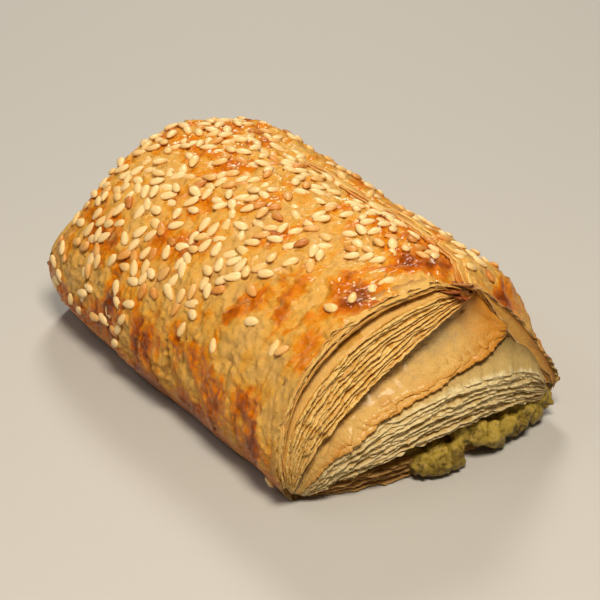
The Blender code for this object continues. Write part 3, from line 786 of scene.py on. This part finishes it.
def makeSeam(material):
    blank = leafBlank(*seam["grid"])
    bm = bmesh.new()
    for number, (upper, lower, height, browning) in enumerate(seam["strips"]):

        def shape(s, d, w):
            x = seam["from"] + (seam["to"] - seam["from"]) * s
            tatter = 2.0 * wave(x / 6.0, number * 3.1, 91.0) + 0.9 * wave(x / 1.5, number * 1.7, 93.0)
            breadth = smooth((x - seam["from"]) / seam["fadeIn"])
            edge = upper + tatter * breadth
            angle = math.radians(lower + (edge - lower) * d)
            curl = 0.12 * wave(x / 4.0, number * 2.3, 95.0) * d * d
            over = height * breadth + curl + seam["thick"] * (w - 0.5)
            grown = skin(x, seam["liftAngle"]) - skin(x, seam["liftAngle"], 1.0, -1.0)
            step = roll["seamStep"] * smooth((roll["seamAngle"] - angle) / roll["seamStepAngle"])
            base = skin(x, angle, 1.0, -step)
            return base + grown.normalized() * over, browning + 0.5 * wave(x / 6.0, number * 0.7, 97.0)

        addLeaf(bm, blank, shape)
    bpy.data.meshes.remove(blank)
    finishPiece(bm, "seamStrips", material, "pastry")


# Small curled flakes, toasted dark, where the leaves meet the seam at the shown end
flakes = {
    # (x, y, z of its middle, length, reach, lift, browning)
    "spots": [
        (42.0, 4.0, 34.2, 4.6, 2.4, 1.0, 0.90),
        (41.8, 7.0, 34.4, 4.0, 2.8, 1.5, 0.55),
        (42.2, 5.6, 33.2, 4.4, 2.0, 0.2, 1.00),
        (42.0, 8.6, 33.8, 3.4, 2.4, 0.8, 0.35),
    ],
    "thick": 0.28,
    "grid": (16, 6),
}


def makeFlakes(material):
    blank = leafBlank(*flakes["grid"])
    bm = bmesh.new()
    for number, (x, y, z, length, reach, lift, browning) in enumerate(flakes["spots"]):

        def shape(s, d, w):
            narrow = 1.0 - 0.55 * d * d
            edge = 0.5 * wave(s * 5.0, number * 2.3, 131.0) + 0.25 * wave(s * 13.0, number * 1.1, 133.0)
            point = Vector((x - reach + (1.6 * reach + edge) * d, y + (s - 0.5) * length * narrow, z))
            point.z += lift * d * d - 0.35 * (point.y - y) + flakes["thick"] * (w - 0.5)
            point.z += 0.3 * wave(s * 4.0, d * 3.0, 135.0 + number)
            return point, browning * (0.6 + 0.5 * d)

        addLeaf(bm, blank, shape)
    bpy.data.meshes.remove(blank)
    finishPiece(bm, "cornerFlakes", material, "pastry")


sesame = {
    "length": 3.3,
    "width": 2.05,
    "thick": 1.15,
    "spacing": 2.12,
    "draws": 5200,
    "degrees": (22.0, 192.0),
    # (x, degrees) of seeds that lie apart from the rest
    "apart": [
        (36.3, 105.0), (36.0, 99.5), (36.4, 112.5), (35.2, 120.0), (23.3, 141.0), (31.4, 144.0), (34.0, 142.5),
        (18.0, 132.0), (17.5, 158.0), (7.4, 161.0), (8.6, 153.0), (35.8, 207.0), (31.4, 64.0), (35.5, 61.0),
        (33.0, 56.0), (35.0, 52.0), (-18.0, 181.0), (-13.4, 188.0), (-24.0, 172.0), (24.0, 60.0), (14.0, 57.0),
    ],
}


# How thickly the seeds lie: most on the top, none near the open end, few low on the fold and past the seam
def seedDensity(x, degrees):
    if degrees < 65.0:
        return 0.12 if degrees > 20.0 and x < 30.0 else 0.0
    front = 32.0 - 0.42 * max(0.0, degrees - 93.0)  # they stop further back down the fold side
    low = smooth((degrees - 146.0) / 22.0)
    clump = 0.25 + 0.75 * smooth(0.5 + 1.6 * wave(x / 6.0, degrees / 14.0, 17.0))
    return 0.8 * clump * smooth((front - x) / 3.0) * (1.0 - (0.97 if x > -6.0 else 0.86) * low)


def makeSesame(material):
    draw = random.Random(12)
    bm = bmesh.new()
    bmesh.ops.create_uvsphere(bm, u_segments=8, v_segments=7, radius=0.5)
    blank = meshFrom(bm, "seedBlank")
    bm = bmesh.new()
    toastLayer = bm.verts.layers.float.new("toast")
    places = []
    spots = [(x, degrees, True) for x, degrees in sesame["apart"]]
    for _ in range(sesame["draws"]):
        x = draw.uniform(roll["backRim"] + 1.0, roll["frontRim"] - 2.0)
        spots.append((x, draw.uniform(*sesame["degrees"]), False))

    # A seed stays where chance and its neighbours' distance allow, and it is laid flat on the crust
    for x, degrees, kept in spots:
        turn, size = draw.uniform(0.0, math.tau), draw.uniform(0.9, 1.1)
        tilt, toasted = draw.gauss(0.0, 0.12), draw.random() ** 4.0
        if not kept and draw.random() > seedDensity(x, degrees):
            continue
        angle = math.radians(degrees)
        along = (x - roll["backRim"]) / (roll["frontRim"] - roll["backRim"])
        middle = skin(x, angle, 1.0, crustDetail(x, angle)[0])
        middle.x += endShift(along, angle, middle.z)
        if any((middle - other).length < sesame["spacing"] * size for other in places):
            continue
        places.append(middle)
        lengthwise = (skin(x + 1.0, angle) - skin(x - 1.0, angle)).normalized()
        crosswise = (skin(x, angle + 0.04) - skin(x, angle - 0.04)).normalized()
        up = lengthwise.cross(crosswise).normalized()
        if up.dot(middle - Vector((x, 0.0, roll["coreHeight"]))) < 0.0:
            up.negate()
        longWay = (Matrix.Rotation(turn, 3, up) @ lengthwise + up * tilt).normalized()
        wideWay = up.cross(longWay).normalized()
        lift = longWay.cross(wideWay).normalized()
        firstVert = len(bm.verts)
        bm.from_mesh(blank)
        bm.verts.ensure_lookup_table()
        for vert in bm.verts[firstVert:]:
            width, height, length = vert.co
            taper = 1.12 - 0.42 * (length + 0.5)
            vert.co = place(
                middle
                + longWay * (length * sesame["length"] * size)
                + wideWay * (width * sesame["width"] * size * taper)
                + lift * (height * sesame["thick"] * taper + sesame["thick"] * 0.24)
            )
            vert[toastLayer] = min(1.0, toasted * 0.85 + 0.10 * (length + 0.5))
    bpy.data.meshes.remove(blank)
    print(len(places), "seeds")
    finishPiece(bm, "sesame", material, "pastry")


mash = {
    "grid": (28, 20),
    "middle": (6.5, 5.0),
    "halfWidth": 20.0,
    "halfHeight": 3.6,
    "front": 42.5,
    "back": -46.0,
    # (x, y, z, radius) of the lumps that have pushed out of the open end
    "lumps": [
        (45.0, -0.5, 3.4, 3.1), (45.2, 2.6, 2.9, 2.5), (44.6, -3.6, 3.2, 1.9), (43.6, 5.8, 6.2, 2.4),
        (44.6, 8.6, 5.6, 2.5), (44.8, 11.6, 4.4, 2.3), (44.6, 12.4, 2.0, 1.6), (44.0, 15.4, 4.6, 2.4),
        (43.4, 18.6, 3.4, 2.0), (42.6, 21.4, 4.4, 2.0), (41.6, 23.8, 3.0, 1.7), (41.0, 26.0, 5.8, 1.9),
        (40.6, 27.2, 4.0, 1.3), (42.4, 17.2, 1.9, 1.3),
    ],
    "crumbs": 150,
    "farLumps": 16,
    "voxel": 0.42,
    "roughness": ((0.4, 2.6), (0.65, 1.2)),  # (height, size) of the lumps on its surface
}


def makeMash(material):
    draw = random.Random(5)
    bm = rodOfQuads(*mash["grid"])
    middleY, middleZ = mash["middle"]
    for vert in bm.verts:
        vert.co = place(
            Vector((
                mash["back"] + (mash["front"] - mash["back"]) * (vert.co.x + 0.5),
                middleY + vert.co.y * mash["halfWidth"] * 0.97,
                middleZ + vert.co.z * mash["halfHeight"] * 0.9,
            ))
        )
    lumps = [(Vector(spot), radius) for *spot, radius in mash["lumps"]]
    # Crumbs cling to the front of the lumps, and flatter lumps lie over the far end
    for _ in range(mash["crumbs"]):
        spot, radius = lumps[draw.randrange(len(mash["lumps"]))]
        away = Vector((abs(draw.gauss(0.0, 1.0)), draw.gauss(0.0, 1.0), draw.gauss(0.0, 1.0))).normalized()
        lumps.append((spot + away * radius * 0.85, draw.uniform(0.45, 0.95)))
    for _ in range(mash["farLumps"]):
        y = draw.uniform(-0.92, 0.96)
        z = draw.uniform(-0.6, 0.6) * math.sqrt(1.0 - y * y)
        spot = Vector((mash["back"] + 1.2, middleY + y * mash["halfWidth"], middleZ + z * mash["halfHeight"]))
        lumps.append((spot, draw.uniform(1.5, 2.5)))
    for number, (spot, radius) in enumerate(lumps):
        lump = bmesh.ops.create_icosphere(bm, subdivisions=3, radius=1.0)["verts"]
        for vert in lump:
            rough = 1.0 + 0.3 * noise.noise(vert.co * 1.2 + Vector((number * 3.1, 0.0, 0.0)))
            point = spot + vert.co * radius * rough
            point.z = max(0.75, point.z)
            vert.co = place(point)
    bmesh.ops.triangulate(bm, faces=[face for face in bm.faces if len(face.verts) > 4])

    # The lumps become one skin, which is then roughened
    piece = finishPiece(bm, "mash", material, "filling")
    remesh = piece.modifiers.new("voxels", "REMESH")
    remesh.mode = "VOXEL"
    remesh.voxel_size = mash["voxel"] * mm
    remesh.use_smooth_shade = True
    graph = bpy.context.evaluated_depsgraph_get()
    mesh = bpy.data.meshes.new_from_object(piece.evaluated_get(graph))
    piece.modifiers.clear()
    piece.data = mesh
    normals = [vert.normal.copy() for vert in mesh.vertices]
    for vert, normal in zip(mesh.vertices, normals):
        rough = sum(height * noise.noise(vert.co / (size * mm)) for height, size in mash["roughness"])
        vert.co += normal * rough * mm
    mesh.shade_smooth()
    print("mash remeshed", len(mesh.vertices), "points")


camera = {
    "azimuth": math.radians(56.5),
    "elevation": math.radians(28.5),
    "distance": 430.0,
    "middle": (0.0, 0.0, 21.0),
    "pixelsPerMm": 5.25,
    "imageSide": 600,
    "middlePixel": (301.0, 271.0),
    "sensor": 36.0,
}


# The way from the roll towards something at an azimuth round it and a height angle
def bearing(azimuth, elevation):
    level = math.cos(elevation)
    return Vector((math.sin(azimuth) * level, -math.cos(azimuth) * level, math.sin(elevation)))


def makeCamera():
    back = bearing(camera["azimuth"], camera["elevation"])
    right = Vector((math.cos(camera["azimuth"]), math.sin(camera["azimuth"]), 0.0))
    up = back.cross(right)
    middle = Vector(camera["middle"])
    eye = middle + back * camera["distance"]
    aside = (camera["imageSide"] / 2.0 - camera["middlePixel"][0]) / camera["pixelsPerMm"]
    below = (camera["imageSide"] / 2.0 - camera["middlePixel"][1]) / camera["pixelsPerMm"]
    target = middle + right * aside - up * below
    data = bpy.data.cameras.new("camera")
    data.sensor_width = camera["sensor"]
    data.lens = camera["sensor"] * camera["pixelsPerMm"] * camera["distance"] / camera["imageSide"]
    data.clip_start = 0.01
    made = addObject("camera", data)
    made.location = place(eye)
    made.rotation_euler = (eye - target).to_track_quat("Z", "Y").to_euler()
    bpy.context.scene.camera = made


studio = {
    # (azimuth round the roll, height angle, distance in metres, side of the light in metres, watts, tint)
    "lights": [
        (math.radians(64), math.radians(57), 0.55, 0.14, 2.95, "#FFF4E2"),
        (math.radians(238), math.radians(46), 0.60, 0.14, 1.6, "#FFF8EE"),
        (math.radians(345), math.radians(50), 0.60, 0.24, 0.4, "#FFF8EE"),
    ],
    "air": "#F4F1EC",
    "airStrength": 0.085,
    "floor": "#BDBAB4",
    "floorReach": 1.5,
}


def makeStudio():
    for number, (azimuth, elevation, distance, side, watts, tint) in enumerate(studio["lights"]):
        data = bpy.data.lights.new(f"softbox{number}", "AREA")
        data.size = side
        data.energy = watts
        data.color = colour(tint)[:3]
        lamp = addObject(f"softbox{number}", data)
        away = bearing(azimuth, elevation)
        lamp.location = away * distance
        lamp.rotation_euler = away.to_track_quat("Z", "Y").to_euler()
    world = bpy.data.worlds.new("studio")
    world.use_nodes = True
    world.node_tree.nodes["Background"].inputs["Color"].default_value = colour(studio["air"])
    world.node_tree.nodes["Background"].inputs["Strength"].default_value = studio["airStrength"]
    bpy.context.scene.world = world
    bpy.context.scene.view_settings.view_transform = "Standard"

    bm = bmesh.new()
    bmesh.ops.create_grid(bm, x_segments=1, y_segments=1, size=studio["floorReach"])
    floor = addObject("floor", meshFrom(bm, "floor"))
    # Matt paper: pale, even and without shine
    paper = {"Base Color": colour(studio["floor"]), "Roughness": 0.8, "IOR": 1.5, "Specular IOR Level": 0.35}
    floor.data.materials.append(newMaterial("matt paper sweep", paper)[0])


crustFinish = crustMaterial()
leafFinishes = {name: leafMaterial(name, *look) for name, look in leafKinds.items()}
sesameFinish = sesameMaterial()
mashFinish = mashMaterial()
print("materials made")

makeCamera()
makeStudio()
makeCrust(crustFinish)
familyKinds = {
    "rimLeaves": "flaky rim leaves",
    "firstLeaves": "buttered pastry sheets",
    "wrapLeaves": "golden pastry leaves",
    "secondLeaves": "buttered pastry sheets",
    "fineLeaves": "cream pastry leaves",
    "sideLeaves": "glazed side leaves",
    "soleLeaves": "browned base leaves",
}
for name, kind in familyKinds.items():
    for far in (False, True):
        makeFamily(name, leafFinishes[kind], far)
makeSeam(leafFinishes["flaky rim leaves"])
makeFlakes(leafFinishes["toasted flakes"])
makeSesame(sesameFinish)
makeMash(mashFinish)
print("pieces made")
